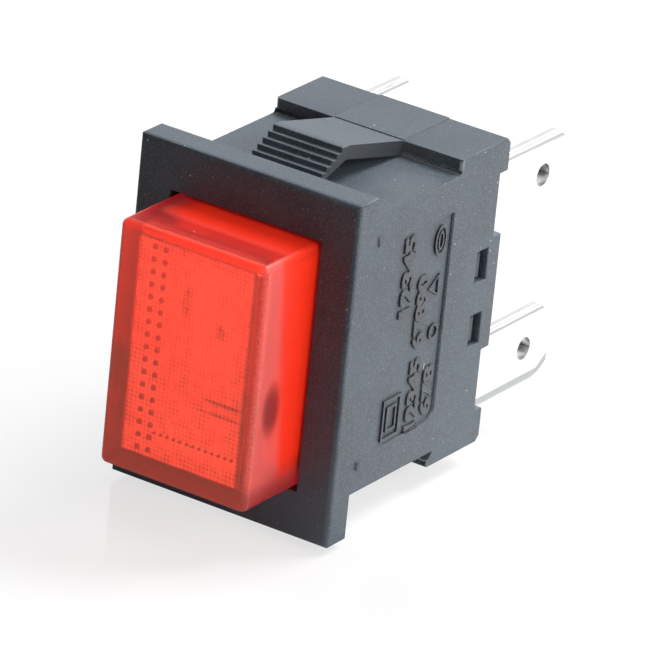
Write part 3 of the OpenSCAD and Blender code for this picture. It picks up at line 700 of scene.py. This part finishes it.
def diffuser_studs():
    """Round studs on the plate's face: two columns up its left side, and a row along its foot."""
    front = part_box("diffuser")[0].y + stud_height
    tree = Growth("plate_studs", ("pitch_x", "pitch_z", "radius"), ("columns", "rows"))
    pitch_x, pitch_z, radius, columns, rows = tree.sizes
    stud = tree.add(
        "GeometryNodeMeshCone", {},
        {"Vertices": 12, "Radius Top": radius * 0.8, "Radius Bottom": radius, "Depth": stud_height},
    )
    wide, tall = (columns - 1) * pitch_x, (rows - 1) * pitch_z
    tree.close(tree.spread(stud, wide, tall, columns, rows), diffuser_stud())
    return [
        tree.grow(
            "studs_side", (-2.65 * MM, front, 0),
            pitch_x=0.74 * MM, pitch_z=0.765 * MM, radius=0.19 * MM, columns=2, rows=17,
        ),
        tree.grow(
            "studs_foot", (0.7 * MM, front, -4.95 * MM),
            pitch_x=0.44 * MM, pitch_z=0.5 * MM, radius=0.11 * MM, columns=13, rows=1,
        ),
    ]


def coil_tree(material):
    """Round-wire compression spring along Y with one closed turn at each end."""
    steps = 26
    tree = Growth("coil_spring", ("mean", "wire", "length"), ("turns",))
    mean, wire, length, turns = tree.sizes
    line = tree.add(
        "GeometryNodeResampleCurve", {},
        {"Curve": tree.add("GeometryNodeCurvePrimitiveLine", {}, {}), "Count": turns * steps + 1},
    )
    at_turn = tree.add("GeometryNodeInputIndex", {}, {}) / steps
    closed = wire * 1.05
    pitch = (length - wire - closed * 2) / (turns - 2)
    rise = (
        at_turn.least(1.0) * closed
        + (at_turn - 1).most(0.0).least(turns - 2) * pitch
        + (at_turn - turns + 1).most(0.0) * closed
    )
    angle = at_turn * (2 * math.pi)
    place = tree.add(
        "ShaderNodeCombineXYZ", {},
        {"X": mean / 2 * angle.cosine(), "Y": wire / 2 + rise, "Z": mean / 2 * angle.sine()},
    )
    wound = tree.add("GeometryNodeSetPosition", {}, {"Geometry": line, "Position": place})
    section = tree.add("GeometryNodeCurvePrimitiveCircle", {}, {"Resolution": 10, "Radius": wire / 2})
    tube = tree.add(
        "GeometryNodeCurveToMesh", {},
        {"Curve": wound, "Profile Curve": section, "Fill Caps": True},
    )
    tree.close(tree.add("GeometryNodeSetShadeSmooth", {}, {"Geometry": tube}), material)
    return tree


class PanelMarks:
    """Raised figures that follow the sloping label panel, gathered in one shape."""

    raised, sunk, clear_of_panel = 0.13 * MM, 0.05 * MM, 10 * MM

    def __init__(self):
        wall = nodes["housing"].data
        self.panel = BVHTree.FromPolygons(
            [v.co for v in wall.vertices], [face.vertices for face in wall.polygons],
        )
        self.shape = bmesh.new()

    def put(self, vertex, y, z, out):
        """Sets a vertex over the panel at (y, z), from sunk at out = 0 to raised at out = 1."""
        start = Vector((self.clear_of_panel, y * MM, z * MM))
        hit = self.panel.ray_cast(start, Vector((-1, 0, 0)))[0]
        rise = out * (self.raised + self.sunk) - self.sunk
        vertex.co = Vector((hit.x + rise, y * MM, z * MM))

    def numbers(self, words, y, z, length, height):
        """Plain figures that read upwards, of a length and height round (y, z)."""
        curve = bpy.data.curves.new("numbers", "FONT")
        curve.body = words
        curve.extrude = 0.05
        curve.offset = 0.025
        curve.bevel_depth = 0.03
        curve.bevel_resolution = 1
        writing = own(curve, "numbers")
        graph = bpy.context.evaluated_depsgraph_get()
        flat = bpy.data.meshes.new_from_object(writing.evaluated_get(graph))
        bpy.data.objects.remove(writing)
        corners = [v.co for v in flat.vertices]
        lows = [min(c[i] for c in corners) for i in range(3)]
        spans = [max(c[i] for c in corners) - lows[i] for i in range(3)]
        for v in flat.vertices:
            along, up, out = ((v.co[i] - lows[i]) / spans[i] - 0.5 for i in range(3))
            self.put(v, y - up * height, z + along * length, out + 0.5)
        self.shape.from_mesh(flat)
        bpy.data.meshes.remove(flat)

    def outline(self, sides, y, z, half_y, half_z, line, turn=0.0):
        """A closed raised line of a width inside a regular outline round (y, z)."""
        loops = []
        for inset in (0, line):
            for out in (0, 1):
                loop = []
                for i in range(sides):
                    angle = 2 * math.pi * i / sides + turn
                    across = (half_y - inset) * math.cos(angle)
                    along = (half_z - inset) * math.sin(angle)
                    loop.append(self.shape.verts.new())
                    self.put(loop[-1], y + across, z + along, out)
                loops.append(loop)
        outer_low, outer_high, inner_low, inner_high = loops
        section = (outer_low, outer_high, inner_high, inner_low, outer_low)
        for loop, following in zip(section, section[1:]):
            skin(self.shape, loop, following)


def panel_marks():
    """Plain numbers, rings, a triangle and a double square on the label panel, in one piece."""
    marks = PanelMarks()
    marks.numbers("12345", 5.54, 3.8, 5.0, 1.3)
    marks.numbers("67890", 7.41, 1.0, 4.6, 1.3)
    marks.numbers("12345", 7.5, -4.15, 4.5, 1.3)
    marks.numbers("678", 9.05, -4.4, 3.2, 1.2)
    marks.outline(28, 8.88, 4.99, 0.62, 0.95, 0.16)
    marks.outline(28, 8.88, 4.99, 0.3, 0.6, 0.14)
    marks.outline(3, 8.75, 2.2, 0.75, 0.8, 0.22, math.pi)
    marks.outline(20, 9.05, -0.7, 0.5, 0.5, 0.16)
    marks.outline(4, 5.24, -4.86, 1.35, 1.8, 0.24, math.pi / 4)
    marks.outline(4, 5.24, -4.86, 0.75, 1.1, 0.22, math.pi / 4)
    return drawn(marks.shape, "panel_marks")


# ---- Pieces ----

black = moulded_nylon("black_nylon", (0.054, 0.067, 0.081), 0.9)
inner_black = moulded_nylon("base_nylon", (0.036, 0.042, 0.05), 0.4, 0.006)
# The raised marks are a darker copy of the housing's nylon: painted shade that sets them off from the
# panel.
marks_shaded_black = moulded_nylon("marks_nylon", (0.022, 0.026, 0.032), 0.4, 0.003, 0.16)
tin = metal("tinned_brass", (0.88, 0.88, 0.87), 0.25, stain_and_shade=(0.42, 0.43, 0.44), edge=blade_painted_shade)
steel = metal("spring_steel", (0.62, 0.62, 0.64), 0.3)

dressed(softened("housing", "housing_shell", 0.12), "body", black, "black_nylon", "housing")
dressed(
    softened("terminal_base", "base_block", 0.08),
    "body", inner_black, "black_nylon", "terminal_base",
)
dressed(panel_marks(), "body", marks_shaded_black, "black_nylon")
dressed(lens_cap(), "button", red_lens(), "red_lens", "button_cap")
dressed(
    softened("plunger", "plunger_form", 0.05),
    "button", white_nylon(), "white_nylon", "plunger",
)

plate, studs = diffuser_plate(), diffuser_studs()
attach(plate, "button")
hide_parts("diffuser")
for piece in studs:
    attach(piece, "button")

for row in ("upper", "lower"):
    for side in ("right", "left"):
        dressed(
            softened(f"terminal_{row}_{side}", f"blade_{row}_{side}", 0.05),
            "body", tin, "tinned_brass", f"terminal_{row}_{side}",
        )

# keep is a spring's length with the button pressed over its length at rest
spring_tree = coil_tree(steel)
for kind, places, wire, turns, keep, rides in (
    ("return", ("upper", "lower"), 0.35, 9, 4.9 / 7.9, "body"),
    ("contact", ("right", "left"), 0.25, 5, 1.9 / 3.1, "button"),
):
    for place in places:
        node = f"{kind}_spring_{place}"
        low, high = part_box(node)
        middle = (low + high) / 2
        piece = spring_tree.grow(
            f"{kind}_coil_{place}", (middle.x, low.y, middle.z),
            mean=high.z - low.z - wire * MM, wire=wire * MM, length=high.y - low.y, turns=turns,
        )
        dressed(piece, rides, steel, "spring_steel", node)
        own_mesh(piece)

wire_tin = metal("tinned_wire", (0.85, 0.85, 0.85), 0.25)
bronze = metal("bronze", (0.78, 0.5, 0.24), 0.3)
silver = metal("silver", (0.92, 0.91, 0.88), 0.28)
inner_finishes = {
    "neon_lamp": lamp_glass(), "lamp_resistor": resistor_body(),
    "lamp_lead": wire_tin, "resistor_lead": wire_tin,
    "latch_pin": steel, "latch_spring": bronze,
    "contact_bridge": bronze, "fixed_contact": silver, "bridge_contacts": silver,
}
for node in nodes:
    for start, material in inner_finishes.items():
        if node.startswith(start):
            nodes[node].material_slots[0].material = material


# ---- Studio ----


def softbox(name, eye, side, power):
    """Square soft lamp at a place, turned to the origin."""
    light = bpy.data.lights.new(name, "AREA")
    light.shape = "RECTANGLE"
    light.size = light.size_y = side
    light.energy = power
    lamp = bpy.data.objects.new(name, light)
    lamp.location = eye
    lamp.rotation_euler = (-Vector(eye)).to_track_quat("-Z", "Y").to_euler()
    bpy.context.scene.collection.objects.link(lamp)


def studio_floor():
    """Pale glossy board, near white to the camera, that keeps shadows and faint reflections, and to
    other rays a painted dark board towards the front.
    """
    half, z = 0.9, cad_low.z
    mesh = bpy.data.meshes.new("floor")
    corners = [(-half, -half, z), (half, -half, z), (half, half, z), (-half, half, z)]
    mesh.from_pydata(corners, [], [(0, 1, 2, 3)])
    floor = own(mesh, "floor")
    material = bpy.data.materials.new("board")
    material.use_nodes = True
    graph = Graph(material.node_tree)
    graph.tree.nodes.clear()
    seen = graph.add("ShaderNodeLightPath", {}, {}, "Is Camera Ray")
    place = graph.add("ShaderNodeTexCoord", {}, {}, "Object")
    y = graph.add("ShaderNodeSeparateXYZ", {}, {0: place}, "Y") / MM
    matt = graph.add("ShaderNodeBsdfDiffuse", {}, {"Color": colour(0.92, 0.92, 0.92)})
    shine = graph.add(
        "ShaderNodeBsdfGlossy", {}, {"Color": colour(0.95, 0.95, 0.95), "Roughness": 0.07},
    )
    # Painted shade: towards the front, other rays see a dark board, which darkens the object's front
    # faces
    dark = graph.add("ShaderNodeBsdfDiffuse", {}, {"Color": colour(0.25, 0.25, 0.25)})
    glow = graph.add("ShaderNodeEmission", {}, {"Strength": 1.0})
    near = y.ramp(-15.0, -5.0) * y.ramp(-2.0, 6.0, 1.0, 0.15)
    front = y.ramp(-12.0, 12.0, 1.0, 0.0)
    board = graph.add("ShaderNodeMixShader", {}, {0: seen * near * 0.25, 1: matt, 2: shine})
    board = graph.add("ShaderNodeMixShader", {}, {0: (1 - seen) * front, 1: board, 2: dark})
    board = graph.add("ShaderNodeMixShader", {}, {0: seen * 0.7, 1: board, 2: glow})
    graph.add("ShaderNodeOutputMaterial", {}, {0: board})
    mesh.materials.append(material)
    floor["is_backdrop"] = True


def white_room(front, back, seen_front, seen_back):
    """Even soft light, stronger from behind and in reflections, and white to the camera."""
    world = bpy.data.worlds.new("room")
    bpy.context.scene.world = world
    world.use_nodes = True
    graph = Graph(world.node_tree)
    graph.tree.nodes.clear()
    way = graph.add("ShaderNodeTexCoord", {}, {}, "Generated")
    y, z = (graph.add("ShaderNodeSeparateXYZ", {}, {0: way}, name) for name in "YZ")
    behind = (y + z * 0.5).ramp(-0.7, 0.5)
    camera, glossy, through = (
        graph.add("ShaderNodeLightPath", {}, {}, f"Is {name} Ray")
        for name in ("Camera", "Glossy", "Transmission")
    )
    plain = front + behind * (back - front)
    shown = seen_front + behind * (seen_back - seen_front)
    level = plain + (shown - plain) * glossy.most(through)
    strength = level + (1 - level) * camera
    sky = graph.add("ShaderNodeBackground", {}, {"Strength": strength})
    graph.add("ShaderNodeOutputWorld", {}, {0: sky})


def long_lens_camera():
    """Long lens at the right front, a little above, with the object leaning in the frame."""
    azimuth, elevation, roll = math.radians(31.78), math.radians(23.16), math.radians(5.8)
    aim = Vector((4.58, 0.0, 2.03)) * MM
    distance = 0.4383
    back = Vector((
        math.sin(azimuth) * math.cos(elevation),
        -math.cos(azimuth) * math.cos(elevation),
        math.sin(elevation),
    ))
    data = bpy.data.cameras.new("camera")
    data.lens, data.sensor_width = 436.17, 36.0
    data.clip_start, data.clip_end = 0.01, 10.0
    camera = bpy.data.objects.new("camera", data)
    bpy.context.scene.collection.objects.link(camera)
    turn = (-back).to_track_quat("-Z", "Y").to_matrix() @ Matrix.Rotation(roll, 3, "Z")
    camera.matrix_world = Matrix.Translation(aim + back * distance) @ turn.to_4x4()
    bpy.context.scene.camera = camera


studio_floor()
white_room(0.12, 0.5, 0.2, 1.15)
softbox("key", (0.16, 0.32, 0.5), 0.3, 3.9)
softbox("right_panel", (0.6, 0.0, 0.25), 0.4, 3.2)
long_lens_camera()
bpy.context.scene.view_settings.view_transform = "Standard"

low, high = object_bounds()
